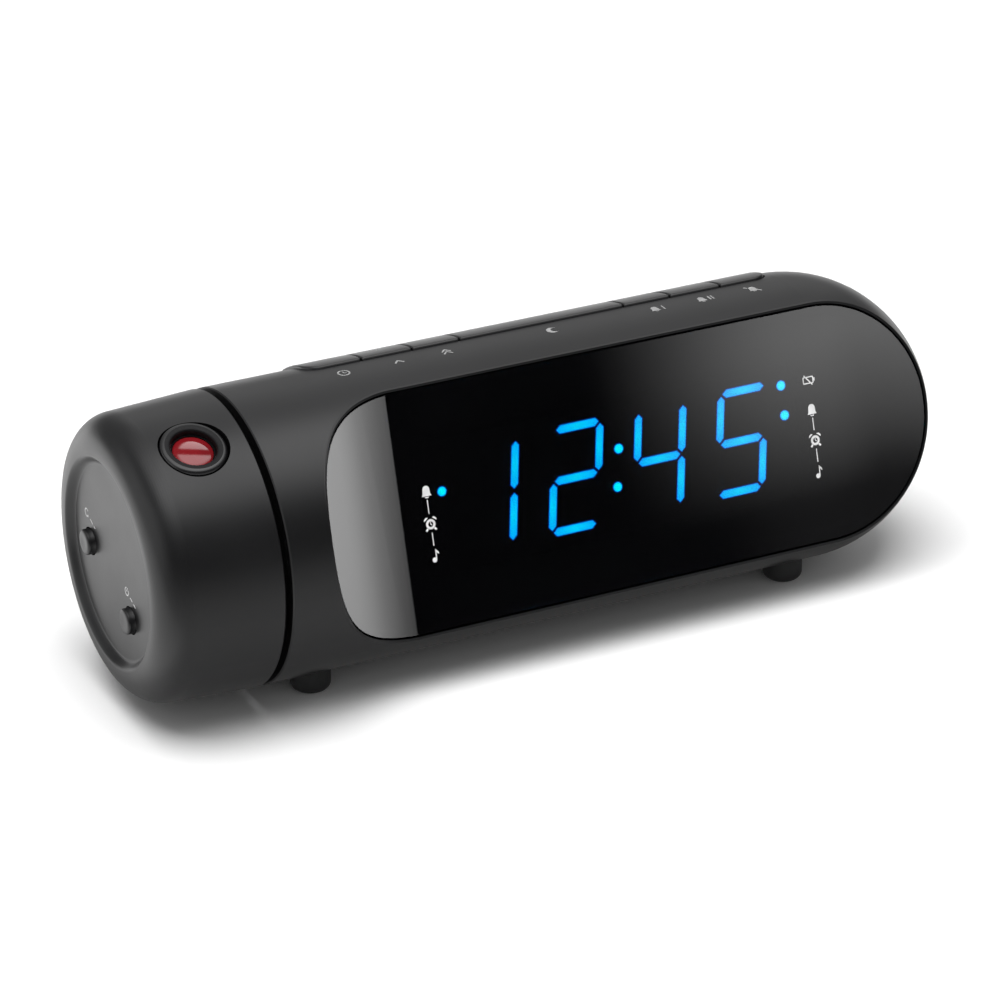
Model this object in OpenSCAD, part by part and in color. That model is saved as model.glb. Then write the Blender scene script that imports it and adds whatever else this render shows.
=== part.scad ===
// Projection alarm clock: a round-ended cylinder lying on four feet.
// +X runs along the body from the projector to the round end, -Y is the
// display side, +Z is up.  The origin is on the table under the middle.

/* [Body] */
// Outer radius of the round body
body_r = 31; // [30.5:0.1:31.5]
// Wall thickness of the two housings
wall = 2; // [1.8:0.1:2.2]
// Gap between the underside of the body and the table
foot_gap = 2; // [1.5:0.1:3]
// Left end of the fixed body
body_x0 = -66.7; // [-67:0.1:-66.5]
// Centre of the round right end
body_x1 = 63; // [62:0.5:66]
// Direction of the middle of the front housing, from straight up towards the front
split_dir = 52; // [50:1:54]
// Distance of the parting plane behind the axis
split_off = 5.1; // [4.6:0.1:5.6]

/* [Display] */
// Direction the display faces, from straight up towards the front
win_dir = 73; // [71:1:75]
// Distance of the display's face from the axis
win_d = 17; // [16.6:0.05:17.4]
// Thickness of the display window
win_t = 1.6; // [1.4:0.1:1.8]
// Place along the body where the window starts to curve outward
scoop_x = -35.8; // [-37:0.1:-35]
// Radius of the outward curve
scoop_r = 26.5; // [26:0.5:27.5]
// Angle of the crease where the curve starts
scoop_kink = 4; // [3:0.5:5]
// Width of the housing lip round the window
win_lip = 0.4; // [0.35:0.05:0.6]
// Gap between the lip and the window
win_gap = 0.35; // [0.2:0.05:0.4]
// Distance between neighbouring digits
digit_pitch = 19.65; // [19:0.05:20]
// Middle of the first digit
digit_x = -14.55; // [-14.8:0.05:-13.8]
// Middle of the digits above the middle of the window
digit_y = -0.3; // [-0.6:0.1:0.4]
// Half height of a digit, to the middle of its bars
digit_h = 10.55; // [10:0.05:11]
// Half width of a digit, to the middle of its bars
digit_w = 5.25; // [4.5:0.05:5.3]
// Width of one bar of a digit
bar_w = 1.75; // [1.5:0.05:2]
// Lean of the digits, sideways per unit of height
digit_lean = 0.17; // [0:0.01:0.25]

/* [Keys] */
// Direction of the middle of the key row, from straight up towards the front
key_dir = -26; // [-28:1:-25]
// Left end of the key row
key_x0 = -46.4; // [-47:0.1:-46]
// Half width of the key row
key_hw = 8.5; // [8:0.1:9]
// How far the keys stand out of the body
key_proud = 0.6; // [0.3:0.1:0.9]
// Gap round each key
key_gap = 0.3; // [0.25:0.05:0.4]

/* [Projector] */
// Right end of the turning barrel
barrel_x1 = -68.2; // [-68.4:0.1:-68]
// Left end of the turning barrel
barrel_x0 = -94; // [-95:0.1:-93.5]
// Radius of the barrel at its far end
barrel_r0 = 30.1; // [29.8:0.1:30.5]
// Rounding of the barrel's far end
barrel_fillet = 7.2; // [6.5:0.1:7.5]
// Turn of the barrel from lens straight up towards the front
barrel_turn = 23.2; // [0:0.1:60]
// Depth of the dished end
dish = 1.6; // [1.2:0.1:1.8]
// Width of the sloping wall round the dished end
dish_wall = 2.2; // [1.6:0.1:3]
// Place of the lens along the body
lens_x = -79.1; // [-79.3:0.1:-79.0]
// Radius of the hub that the barrel turns on
hub_r = 10.95; // [10.9:0.01:10.97]

/* [Hidden] */
$fn = 96;
axis_z = body_r + foot_gap;
inner_r = body_r - wall;
// widths of the seven keys, left to right
key_w = [12.2, 11.5, 10.9, 38.4, 11.1, 12.1, 12];
function sum_to(v, n) = n <= 0 ? 0 : v[n - 1] + sum_to(v, n - 1);
function key_a(n) = key_x0 + sum_to(key_w, n);
key_x1 = key_a(7);

// Frames -----------------------------------------------------------------
// direction p in degrees from straight up towards the front becomes local +Z
module facing(p) { translate([0, 0, axis_z]) rotate([p, 0, 0]) children(); }
// the same, turned with the barrel: local +Z is the way the lens looks
module in_barrel() { facing(barrel_turn) children(); }
// solid of revolution round the body's axis; profile is [radius, x]
module lathe_x() { rotate([0, 90, 0]) rotate_extrude() children(); }
module rod_x(r, a, b) { translate([a, 0, 0]) rotate([0, 90, 0]) cylinder(r = r, h = b - a); }
module ring_x(ro, ri, a, b) { difference() { rod_x(ro, a, b); rod_x(ri, a - 1, b + 1); } }
module tube(ro, ri, a, b) { translate([0, 0, a]) difference() { cylinder(r = ro, h = b - a); translate([0, 0, -1]) cylinder(r = ri, h = b - a + 2); } }
module block(a, b) { translate(a) cube([b[0] - a[0], b[1] - a[1], b[2] - a[2]]); }

// Shapes shared by several pieces ------------------------------------------
// cylinder with one half-ball end, round the axis
module capsule(r, x0) {
  union() {
    rod_x(r, x0, body_x1);
    intersection() {
      translate([body_x1, 0, 0]) rotate([0, 90, 0]) sphere(r = r);
      translate([body_x1, -r - 1, -r - 1]) cube([r + 1, 2 * r + 2, 2 * r + 2]);
    }
  }
}
module shell() {
  difference() {
    capsule(body_r, body_x0);
    capsule(inner_r, body_x0 - 1);
    // small chamfer round the left rim
    lathe_x() polygon([[body_r - 0.35, body_x0 - 0.1], [body_r + 1, body_x0 - 0.1], [body_r + 1, body_x0 + 1.25]]);
  }
}
// everything in front of the display's face moved back by k, in the display frame
module ahead_of(k) {
  cx = scoop_x + scoop_r * sin(scoop_kink);
  cz = win_d + scoop_r * cos(scoop_kink);
  x0 = cx - (scoop_r + k) * sin(acos((cz - win_d + k) / (scoop_r + k)));
  difference() {
    block([-90 + k, -40 + k, win_d - k], [110 - k, 40 - k, 60 - k]);
    difference() {
      block([-92, -42, 0], [x0, 42, 62]);
      translate([cx, 0, cz]) rotate([90, 0, 0]) cylinder(r = scoop_r + k, h = 90, center = true, $fn = 180);
    }
  }
}
// half space in front of the parting plane
module front_half() { rotate([split_dir, 0, 0]) translate([-120, -60, -split_off]) cube([240, 120, 100]); }
module rear_half() { rotate([split_dir, 0, 0]) translate([-120, -60, -split_off - 100.15]) cube([240, 120, 100]); }
// ring inside the housings that holds the pivot plate
module plate_rib() { ring_x(inner_r + 0.5, 26.5, -64.2, -62.2); }
// screw places in the parting frame: [x, y]
upper_screws = [[-58, 25], [71, 24]];
lower_screws = [[-42, -26.4], [44, -26.4]];
// outline of the keys from a to b, grown by g, rounded at the chosen ends
module key_outline(a, b, g, ra, rb) {
  h = key_hw + g;
  union() {
    translate([a - g + ra, -h]) square([b - a + 2 * g - ra - rb, 2 * h]);
    if (ra > 0) {
      translate([a - g, -h + ra]) square([ra, 2 * h - 2 * ra]);
      for (s = [-1, 1]) translate([a - g + ra, s * (h - ra)]) circle(r = ra, $fn = 48);
    }
    if (rb > 0) {
      translate([b + g - rb, -h + rb]) square([rb, 2 * h - 2 * rb]);
      for (s = [-1, 1]) translate([b + g - rb, s * (h - rb)]) circle(r = rb, $fn = 48);
    }
  }
}
// battery bay and door, round the axis
bay_hx = 26.5; bay_y0 = -7.5; bay_y1 = 15.5; bay_top = -15.8;
door_hx = 29.7; door_y0 = -10.2; door_y1 = 18.2;
// hinge line of the door, inside its rear edge
hinge_y = 17.35; hinge_z = -24.6;
feet_at = [[-54, -9.9], [-54, 9.9], [58, -9.9], [58, 9.9]];
speaker_x = 46; speaker_z = -3;
socket_x = -50; socket_z = -6;
grommet_x = -36; grommet_z = -6;

// Fixed body ---------------------------------------------------------------
module front_housing() {
  color([0.09, 0.09, 0.1]) translate([0, 0, axis_z]) difference() {
    union() {
      intersection() {
        union() {
          shell();
          plate_rib();
          // ledge that carries the window
          intersection() {
            capsule(body_r - 1, body_x0 + 4);
            rotate([win_dir, 0, 0]) ahead_of(win_t + 1.6);
          }
          // posts for the display board
          rotate([win_dir, 0, 0]) for (x = [-33, 62], w = [-17, 17]) translate([x, w, 6.6]) cylinder(r = 1.9, h = 8.6);
          // posts for the key board
          rotate([key_dir, 0, 0]) for (x = [-49.6, 64.6]) translate([x, 0, 20.6]) cylinder(r = 2.2, h = 9);
        }
        front_half();
      }
      // screw posts
      intersection() {
        capsule(inner_r + 0.5, body_x0 + 1);
        rotate([split_dir, 0, 0]) union() {
          for (p = upper_screws) translate([p[0], p[1], -split_off]) cylinder(r = 3, h = 24);
          for (p = lower_screws) translate([p[0], p[1], -split_off]) cylinder(r = 3, h = 9.6);
        }
      }
    }
    // opening for the window, with a thin lip left round it
    rotate([win_dir, 0, 0]) ahead_of(0);
    intersection() {
      capsule(body_r - win_lip, body_x0 + 2);
      rotate([win_dir, 0, 0]) ahead_of(win_t);
    }
    // view through the ledge
    rotate([win_dir, 0, 0]) block([-31, -14.5, 10], [58, 14.5, 20]);
    // opening for the keys
    rotate([key_dir, 0, 0]) translate([0, 0, 24]) linear_extrude(height = 12) key_outline(key_x0, key_x1, key_gap, 3.5 + key_gap, 3.5 + key_gap);
    // screw holes
    rotate([split_dir, 0, 0]) for (p = concat(upper_screws, lower_screws)) translate([p[0], p[1], -split_off - 1]) cylinder(r = 1.4, h = 9.5, $fn = 32);
  }
}

module rear_housing() {
  color([0.09, 0.09, 0.1]) translate([0, 0, axis_z]) difference() {
    union() {
      intersection() {
        union() {
          difference() {
            shell();
            // opening for the battery door
            block([-door_hx - 0.3, door_y0 - 0.3, -40], [door_hx + 0.3, door_y1 + 0.3, -18]);
          }
          plate_rib();
          // ledge round the mouth of the battery bay
          difference() {
            intersection() { capsule(inner_r + 0.5, body_x0 + 2); block([-32, -12.5, -40], [32, 20.5, -18]); }
            rod_x(27, -40, 40);
            difference() {
              block([-door_hx - 0.3, door_y0 - 0.3, -40], [door_hx + 0.3, door_y1 + 0.3, -18]);
              rod_x(28.6, -40, 40);
            }
          }
          // collar for the power socket
          intersection() {
            capsule(body_r - 0.5, body_x0 + 2);
            translate([socket_x, 24, socket_z]) rotate([-90, 0, 0]) cylinder(r = 7, h = 10);
          }
          // ring that holds the speaker
          intersection() {
            capsule(inner_r + 0.5, body_x0 + 2);
            translate([speaker_x, 19.2, speaker_z]) rotate([-90, 0, 0]) tube(19.8, 18.3, 0, 12);
          }
          // sockets for the feet
          intersection() {
            capsule(body_r - 0.5, body_x0 + 2);
            union() for (p = feet_at) translate([p[0], p[1], -axis_z]) cylinder(r = 6, h = 8.4);
          }
          // screw posts
          intersection() {
            capsule(body_r - 0.4, body_x0 + 1);
            rotate([split_dir, 0, 0]) for (p = concat(upper_screws, lower_screws)) translate([p[0], p[1], -40]) cylinder(r = 4, h = 45);
          }
        }
        rear_half();
      }
      // battery bay walls
      intersection() {
        rod_x(28.6, -40, 40);
        block([-29, -9.5, -40], [29, 17.5, bay_top + 1.6]);
      }
    }
    // space for two cells
    block([-bay_hx, bay_y0, -40], [bay_hx, bay_y1, bay_top]);
    // holes for the hinge pins of the battery door
    translate([0, hinge_y, hinge_z]) rod_x(0.66, -31.3, 31.3);
    // screw holes, sunk from outside
    rotate([split_dir, 0, 0]) for (p = concat(upper_screws, lower_screws)) {
      translate([p[0], p[1], -20]) cylinder(r = 1.5, h = 20, $fn = 32);
      translate([p[0], p[1], -49]) cylinder(r = 2.9, h = 40, $fn = 48);
    }
    // sockets for the feet
    for (p = feet_at) translate([p[0], p[1], -axis_z - 1]) cylinder(r = 4.3, h = 6.8, $fn = 64);
    // round power port with a flat face sunk into the wall
    translate([socket_x, 20, socket_z]) rotate([-90, 0, 0]) cylinder(r = 4.2, h = 20, $fn = 64);
    translate([socket_x, 28.2, socket_z]) rotate([-90, 0, 0]) cylinder(r = 6.2, h = 10, $fn = 64);
    // hole for the antenna grommet
    translate([grommet_x, 20, grommet_z]) rotate([-90, 0, 0]) cylinder(r = 2.2, h = 20, $fn = 48);
    // sound slots
    for (i = [-6 : 6]) translate([speaker_x + i * 2.5 - 0.7, 24, speaker_z - sqrt(17 * 17 - i * i * 6.25) + 1]) cube([1.4, 10, 2 * sqrt(17 * 17 - i * i * 6.25) - 2]);
  }
}

// plate across the left end of the fixed body, with the bearing for the hub
module pivot_plate() {
  color([0.12, 0.12, 0.13]) translate([0, 0, axis_z]) difference() {
    union() {
      rod_x(28.8, -66.2, -64.3);
      rod_x(13.5, -66.2, -60.3);
    }
    rod_x(11, -70, -50);
    // curved slot for the barrel's stop
    rotate([0, 90, 0]) translate([0, 0, -70]) rotate([0, 0, -94.5]) rotate_extrude(angle = 189) translate([21.6, 0]) square([3.8, 10]);
  }
}

module friction_washer() {
  color([0.2, 0.2, 0.2]) translate([0, 0, axis_z]) ring_x(17, 11.4, -68.3, -66.3);
}

module display_window() {
  color([0.01, 0.01, 0.012]) translate([0, 0, axis_z]) intersection() {
    capsule(body_r - win_lip - win_gap, body_x0 + 2);
    rotate([win_dir, 0, 0]) difference() { ahead_of(win_t - 0.05); ahead_of(0); }
  }
}

// back of the lit bars
bar_z = win_d - win_t - 1;
// one bar of a digit: a flat six-sided strip along +X, centred
module bar(len) {
  h = bar_w / 2;
  polygon([[-len / 2, 0], [-len / 2 + h, -h], [len / 2 - h, -h], [len / 2, 0], [len / 2 - h, h], [-len / 2 + h, h]]);
}
module digit() {
  multmatrix([[1, digit_lean, 0, 0], [0, 1, 0, 0], [0, 0, 1, 0]]) union() {
    for (w = [-digit_h, 0, digit_h]) translate([0, w]) bar(2 * digit_w - 0.6);
    for (x = [-digit_w, digit_w], w = [-digit_h / 2, digit_h / 2]) translate([x, w]) rotate(90) bar(digit_h - 0.85);
  }
}
module dots() {
  for (p = [[14.95, 3.95], [14.95, -3.95]]) translate([p[0] + digit_lean * p[1], p[1]]) circle(r = 1.05, $fn = 32);
  for (p = [[-25.4, 3.1], [55.2, 3.35], [55.2, 9.75]]) translate(p) circle(r = 1, $fn = 32);
}
module digit_bars() {
  color([0, 0.6, 1]) facing(win_dir) translate([0, digit_y, bar_z]) linear_extrude(height = 0.7) {
    for (i = [0 : 3]) translate([digit_x + i * digit_pitch, 0]) digit();
    dots();
  }
}
module display_reflector() {
  color([0.15, 0.15, 0.16]) facing(win_dir) difference() {
    block([-29.5, -13.4, 6.6], [57, 13.4, bar_z + 0.7]);
    translate([0, digit_y, bar_z]) linear_extrude(height = 2) {
      for (i = [0 : 3]) translate([digit_x + i * digit_pitch, 0]) digit();
      dots();
    }
  }
}
module display_board() {
  color([0.05, 0.25, 0.12]) facing(win_dir) block([-36, -19, 5], [65, 19, 6.6]);
}
module main_board() {
  color([0.05, 0.25, 0.12]) facing(win_dir) union() {
    block([-45, -13, 0], [60, 15, 1.6]);
    // larger parts on the board
    block([-12, -8, 1.6], [2, 6, 3.2]);
    block([20, -6, 1.6], [30, 4, 3.4]);
    for (x = [-30, -20, 6, 16]) translate([x, -4, -8]) cylinder(r = 3.2, h = 8, $fn = 32);
  }
}
module board_spacers() {
  color([0.8, 0.8, 0.78]) facing(win_dir) for (x = [-41 + 8, 56], w = [-10, 12]) translate([x, w, 1.6]) cylinder(r = 1.9, h = 3.4, $fn = 32);
}
module key_board() {
  color([0.05, 0.25, 0.12]) facing(key_dir) block([-52, -7.5, 19], [67, 7.5, 20.6]);
}
module key_switches() {
  color([0.3, 0.3, 0.3]) facing(key_dir) for (i = [0 : 6]) translate([key_a(i) + key_w[i] / 2, 0, 20.6]) union() {
    block([-3, -3, 0], [3, 3, 3.2]);
    translate([0, 0, 3.2]) cylinder(r = 1.7, h = 0.5, $fn = 32);
  }
}

// key number n of the row, rounded at the row's ends
module key(n) {
  a = key_a(n) + (n == 0 ? 0 : key_gap / 2);
  b = key_a(n) + key_w[n] - (n == 6 ? 0 : key_gap / 2);
  color([0.1, 0.1, 0.11]) facing(key_dir) union() {
    intersection() {
      ring_x(body_r + key_proud, inner_r + 0.2, a - 1, b + 1);
      translate([0, 0, 20]) linear_extrude(height = 14) key_outline(a, b, 0, n == 0 ? 3.5 : 0, n == 6 ? 3.5 : 0);
    }
    block([a + 1, -6.2, 26.8], [b - 1, 6.2, 29.6]);
    block([a + 1, -9.3, 25.8], [b - 1, 9.3, 26.8]);
    translate([key_a(n) + key_w[n] / 2, 0, 25.3]) cylinder(r = 1.6, h = 1, $fn = 32);
  }
}
module time_key() { key(0); }
module hour_key() { key(1); }
module minute_key() { key(2); }
module sleep_key() { key(3); }
module alarm_1_key() { key(4); }
module alarm_2_key() { key(5); }
module alarm_off_key() { key(6); }

module speaker_frame() {
  color([0.35, 0.35, 0.36]) intersection() {
    translate([speaker_x, 0, axis_z + speaker_z]) rotate([-90, 0, 0]) difference() {
      union() {
        translate([0, 0, 6]) cylinder(r = 9, h = 6);
        translate([0, 0, 12]) cylinder(r1 = 10, r2 = 17, h = 7.2);
        translate([0, 0, 19.2]) cylinder(r = 18, h = 1.2);
      }
      translate([0, 0, 12.8]) cylinder(r1 = 8.5, r2 = 16, h = 7.7);
    }
    translate([0, 0, axis_z]) capsule(inner_r - 0.08, 20);
  }
}
module speaker_cone() {
  color([0.12, 0.12, 0.12]) translate([speaker_x, 0, axis_z + speaker_z]) rotate([-90, 0, 0]) union() {
    difference() {
      translate([0, 0, 13.4]) cylinder(r1 = 8, r2 = 15, h = 7);
      translate([0, 0, 13.9]) cylinder(r1 = 7.4, r2 = 14.5, h = 7);
    }
    translate([0, 0, 12.8]) cylinder(r = 6.5, h = 2.4);
  }
}

// curved door under the battery bay; its far long edge is the hinge side
module battery_door() {
  color([0.09, 0.09, 0.1]) translate([0, 0, axis_z]) difference() {
    union() {
      intersection() {
        ring_x(body_r, body_r - 1.65, -door_hx, door_hx);
        block([-door_hx - 1, door_y0, -40], [door_hx + 1, hinge_y - 0.3, -18]);
      }
      // round hinge edge with a pin at each end
      translate([0, hinge_y, hinge_z]) rod_x(0.85, -door_hx + 0.05, door_hx - 0.05);
      translate([0, hinge_y, hinge_z]) rod_x(0.6, -31, 31);
      // spring latch that hooks behind the bay's front wall
      block([-5, bay_y0 + 0.3, -28.6], [5, bay_y0 + 1.3, -25.5]);
    }
    // finger notch
    translate([0, door_y0 + 1.5, -29.6]) rotate([0, 90, 0]) translate([1.4, 0, -5]) cylinder(r = 1.5, h = 10, $fn = 32);
  }
}
module battery_contacts() {
  color([0.8, 0.78, 0.7]) translate([0, 0, axis_z]) {
    for (s = [-1, 1], y = [-1.6, 9.6]) union() {
      translate([s * 26.1, y, -21.3]) cube([0.5, 8.6, 8.6], center = true);
    }
    for (p = [[-1, -1.6], [1, 9.6]]) for (i = [0 : 2])
      translate([p[0] * (25.75 - i * 0.9), p[1], -21.3]) rotate([0, 90, 0]) rotate_extrude($fn = 32) translate([3.2 - i * 0.5, 0]) circle(r = 0.35, $fn = 16);
  }
}

module power_socket() {
  color([0.1, 0.1, 0.1]) translate([socket_x, 0, axis_z + socket_z]) difference() {
    union() {
      block([-4.8, 9.8, -5.2], [4.8, 23.9, 5.2]);
      // ears that hook the socket to the collar's end face
      block([-6.6, 22.4, -2], [6.6, 23.9, 2]);
    }
    translate([0, 12, 0]) rotate([-90, 0, 0]) cylinder(r = 2.85, h = 20, $fn = 48);
  }
}
module power_pin() {
  color([0.8, 0.78, 0.7]) translate([socket_x, 12, axis_z + socket_z]) rotate([-90, 0, 0]) cylinder(r = 1, h = 9.5, $fn = 32);
}
module antenna_grommet() {
  color([0.07, 0.07, 0.07]) translate([grommet_x, 0, axis_z + grommet_z]) rotate([-90, 0, 0]) difference() {
    union() {
      translate([0, 0, 26]) cylinder(r = 2.15, h = 4.6, $fn = 48);
      translate([0, 0, 25.4]) cylinder(r = 3.2, h = 1.8, $fn = 48);
    }
    translate([0, 0, 20]) cylinder(r = 0.9, h = 20, $fn = 32);
  }
}
module feet() {
  color([0.05, 0.05, 0.05]) for (p = feet_at) translate([p[0], p[1], 0]) rotate_extrude($fn = 64)
    polygon(concat([[0, 0], [2.6, 0]], [for (a = [10 : 10 : 90]) [2.6 + 1.65 * sin(a), 1.65 - 1.65 * cos(a)]], [[4.25, 5.7], [0, 5.7]]));
}
module screw(r, len, hr, hh) {
  union() { cylinder(r = r, h = len, $fn = 24); translate([0, 0, -hh]) cylinder(r = hr, h = hh, $fn = 32); }
}
module housing_screws() {
  color([0.25, 0.25, 0.27]) facing(split_dir) for (p = concat(upper_screws, lower_screws)) translate([p[0], p[1], -9]) difference() {
    screw(1.3, 11, 2.6, 1.8);
    translate([-1.8, -0.3, -3]) cube([3.6, 0.6, 2.1]);
    translate([-0.3, -1.8, -3]) cube([0.6, 3.6, 2.1]);
  }
}

// Turning barrel -------------------------------------------------------------
cb_x = barrel_x0 + barrel_fillet;
cb_r = barrel_r0 - barrel_fillet;
dish_r = cb_r - 0.5;
post_at = [60, 140, 220, 300];
module barrel_shape() {
  lathe_x() polygon(concat(
    [[0, barrel_x0 + dish + 2], [0, barrel_x0 + dish], [dish_r - dish_wall, barrel_x0 + dish]],
    [for (i = [1 : 8]) [dish_r - dish_wall + dish_wall * i / 8, barrel_x0 + dish * (1 + cos(180 * i / 8)) / 2]],
    [for (a = [90 : -3.75 : 0]) [cb_r + barrel_fillet * cos(a), cb_x - barrel_fillet * sin(a)]],
    [[body_r, barrel_x1 - 0.3], [body_r - 0.3, barrel_x1], [28.9, barrel_x1], [28.9, -70.2], [26.2, -70.2], [26.2, -72.2],
     [28.5, -72.2], [27.9, -84.5], [25.5, -88.3], [20.5, barrel_x0 + dish + 2]]));
}
module button_spot(s) { translate([0, s * 11.1, -5.6]) children(); }
module projector_housing() {
  color([0.09, 0.09, 0.1]) in_barrel() difference() {
    union() {
      barrel_shape();
      // collar that the focus ring turns in
      intersection() {
        rod_x(29.4, -92, -68.5);
        translate([lens_x, 0, 22.6]) cylinder(r = 8.8, h = 10);
      }
      // screw posts
      for (a = post_at) rotate([a, 0, 0]) translate([0, 0, 23.4]) rod_x(2.7, -91, -70.2);
    }
    translate([lens_x, 0, 22]) cylinder(r = 7.25, h = 12);
    translate([lens_x, 0, 22]) cylinder(r = 8, h = 2);
    for (s = [-1, 1]) button_spot(s) rod_x(3, -96, -88);
    for (a = post_at) rotate([a, 0, 0]) translate([0, 0, 23.4]) rod_x(1.15, -80, -70);
  }
}
// cover of the barrel's inner side, with the hollow hub and the stop
module projector_base() {
  color([0.09, 0.09, 0.1]) in_barrel() difference() {
    union() {
      rod_x(28.6, -70.2, -68.4);
      rod_x(hub_r, -70.2, -58.2);
      rotate([180, 0, 0]) translate([-69, 0, 23.5]) rotate([0, 90, 0]) cylinder(r = 1.5, h = 4.4, $fn = 32);
    }
    rod_x(7.5, -75, -50);
    ring_x(12, 10, -60.15, -58.95);
    for (a = post_at) rotate([a, 0, 0]) translate([0, 0, 23.4]) rod_x(1.2, -75, -60);
  }
}
module hub_clip() {
  color([0.6, 0.6, 0.62]) in_barrel() difference() {
    ring_x(13, 10.05, -60.1, -59);
    block([-61, -3, -14], [-58, 3, 0]);
  }
}
module projector_screws() {
  color([0.25, 0.25, 0.27]) in_barrel() for (b = post_at) rotate([b, 0, 0]) translate([-68.4, 0, 23.4]) rotate([0, -90, 0]) screw(1.1, 9, 2.1, 0.9);
}
module projector_board() {
  color([0.05, 0.25, 0.12]) in_barrel() rod_x(19.3, -86.8, -85.6);
}
module projector_switches() {
  color([0.3, 0.3, 0.3]) in_barrel() for (s = [-1, 1]) button_spot(s) union() {
    block([-88.1, -3, -3], [-86.8, 3, 3]);
    rod_x(1.6, -88.4, -88);
  }
}
module projector_cable() {
  color([0.15, 0.15, 0.15]) in_barrel() rod_x(1.6, -73.4, -46);
}
// lens tube with its flange, and the light box below it
module optics_holder() {
  color([0.13, 0.13, 0.14]) in_barrel() translate([lens_x, 0, 0]) difference() {
    union() {
      translate([0, 0, 8.5]) cylinder(r = 5.4, h = 14);
      translate([0, 0, 21.4]) cylinder(r = 8.6, h = 1.2);
      block([-5.4, -5.4, -0.4], [5.4, 5.4, 9]);
    }
    translate([0, 0, 7.6]) cylinder(r = 4.4, h = 20);
    block([-4.5, -4.5, -2], [4.5, 4.5, 7.9]);
  }
}
module lcd_cell() { color([0.3, 0.32, 0.35]) in_barrel() translate([lens_x, 0, 0]) block([-4.4, -4.4, 6.6], [4.4, 4.4, 7.8]); }
module condenser_lens() {
  color([0.85, 0.9, 0.92]) in_barrel() translate([lens_x, 0, 3.4]) intersection() {
    cylinder(r = 4.3, h = 3, $fn = 64);
    translate([0, 0, -3.6]) sphere(r = 6.4, $fn = 64);
  }
}
module projector_led() { color([0.95, 0.9, 0.7]) in_barrel() translate([lens_x, 0, 0]) union() { block([-1.8, -1.8, -0.4], [1.8, 1.8, 0.8]); translate([0, 0, 0.8]) cylinder(r = 1.2, h = 0.5, $fn = 32); } }
module led_board() { color([0.85, 0.85, 0.85]) in_barrel() translate([lens_x, 0, 0]) block([-5.4, -5.4, -1.6], [5.4, 5.4, -0.4]); }

module focus_ring() {
  color([0.07, 0.07, 0.075]) in_barrel() translate([lens_x, 0, 0]) difference() {
    union() {
      translate([0, 0, 22.9]) cylinder(r = 7.8, h = 0.9);
      translate([0, 0, 23.5]) cylinder(r = 7.18, h = 4.3);
      translate([0, 0, 27.8]) cylinder(r = 6.92, h = 2.2);
      translate([0, 0, 30]) cylinder(r1 = 6.92, r2 = 6.42, h = 0.5);
    }
    translate([0, 0, 20]) cylinder(r = 4.62, h = 12);
  }
}
module lens_cell() {
  color([0.05, 0.05, 0.05]) in_barrel() translate([lens_x, 0, 0]) difference() {
    union() {
      translate([0, 0, 21.2]) cylinder(r = 4.15, h = 3);
      translate([0, 0, 23.5]) cylinder(r = 4.56, h = 5.4);
    }
    translate([0, 0, 20]) cylinder(r = 3.6, h = 6);
    translate([0, 0, 25.9]) cylinder(r = 4.22, h = 6);
  }
}
module projection_lens() {
  color([0.75, 0.05, 0.05]) in_barrel() translate([lens_x, 0, 26]) intersection() {
    cylinder(r = 4.2, h = 5, $fn = 64);
    translate([0, 0, -6.85]) sphere(r = 10.5, $fn = 96);
  }
}
module end_button(s) {
  color([0.12, 0.12, 0.13]) in_barrel() button_spot(s) union() {
    rod_x(2.7, barrel_x0, -89.2);
    rod_x(3.7, -90, -89.2);
  }
}
module upper_button() { end_button(1); }
module lower_button() { end_button(-1); }

front_housing();
rear_housing();
pivot_plate();
friction_washer();
display_window();
digit_bars();
display_reflector();
display_board();
main_board();
board_spacers();
key_board();
key_switches();
time_key();
hour_key();
minute_key();
sleep_key();
alarm_1_key();
alarm_2_key();
alarm_off_key();
speaker_frame();
speaker_cone();
battery_door();
battery_contacts();
power_socket();
power_pin();
antenna_grommet();
feet();
housing_screws();
projector_housing();
projector_base();
hub_clip();
projector_screws();
projector_board();
projector_switches();
projector_cable();
optics_holder();
lcd_cell();
condenser_lens();
projector_led();
led_board();
focus_ring();
lens_cell();
projection_lens();
upper_button();
lower_button();
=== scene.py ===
import bpy, bmesh, math
from mathutils import Vector, Matrix


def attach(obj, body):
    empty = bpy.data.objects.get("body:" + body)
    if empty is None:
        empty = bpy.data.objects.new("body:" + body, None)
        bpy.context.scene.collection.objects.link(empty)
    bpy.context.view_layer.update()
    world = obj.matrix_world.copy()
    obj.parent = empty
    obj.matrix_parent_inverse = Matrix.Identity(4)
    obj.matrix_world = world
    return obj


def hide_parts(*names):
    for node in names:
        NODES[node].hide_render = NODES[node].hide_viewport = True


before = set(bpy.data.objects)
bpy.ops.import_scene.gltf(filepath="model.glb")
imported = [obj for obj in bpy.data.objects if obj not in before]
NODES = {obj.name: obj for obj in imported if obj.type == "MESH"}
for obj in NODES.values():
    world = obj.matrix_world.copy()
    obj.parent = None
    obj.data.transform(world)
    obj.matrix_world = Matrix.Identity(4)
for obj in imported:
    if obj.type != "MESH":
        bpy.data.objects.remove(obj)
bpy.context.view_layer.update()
MM = 0.001
AXIS = 33.0            # height of the body's axis, mm
R = 31.0               # body radius
WIN_DIR, KEY_DIR, TURN = 73.0, -26.0, 23.2
WIN_D, SCOOP_X, SCOOP_R, KINK = 17.0, -35.8, 26.5, 4.0
X1 = 63.0              # centre of the round right end
LENS_X = -79.1


def at(p, x, y, z):
    """A point of the frame turned by p degrees from straight up towards the front, in row metres."""
    c, s = math.cos(math.radians(p)), math.sin(math.radians(p))
    return Vector((x * MM, (y * c - z * s) * MM, (y * s + z * c + AXIS) * MM))


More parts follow.
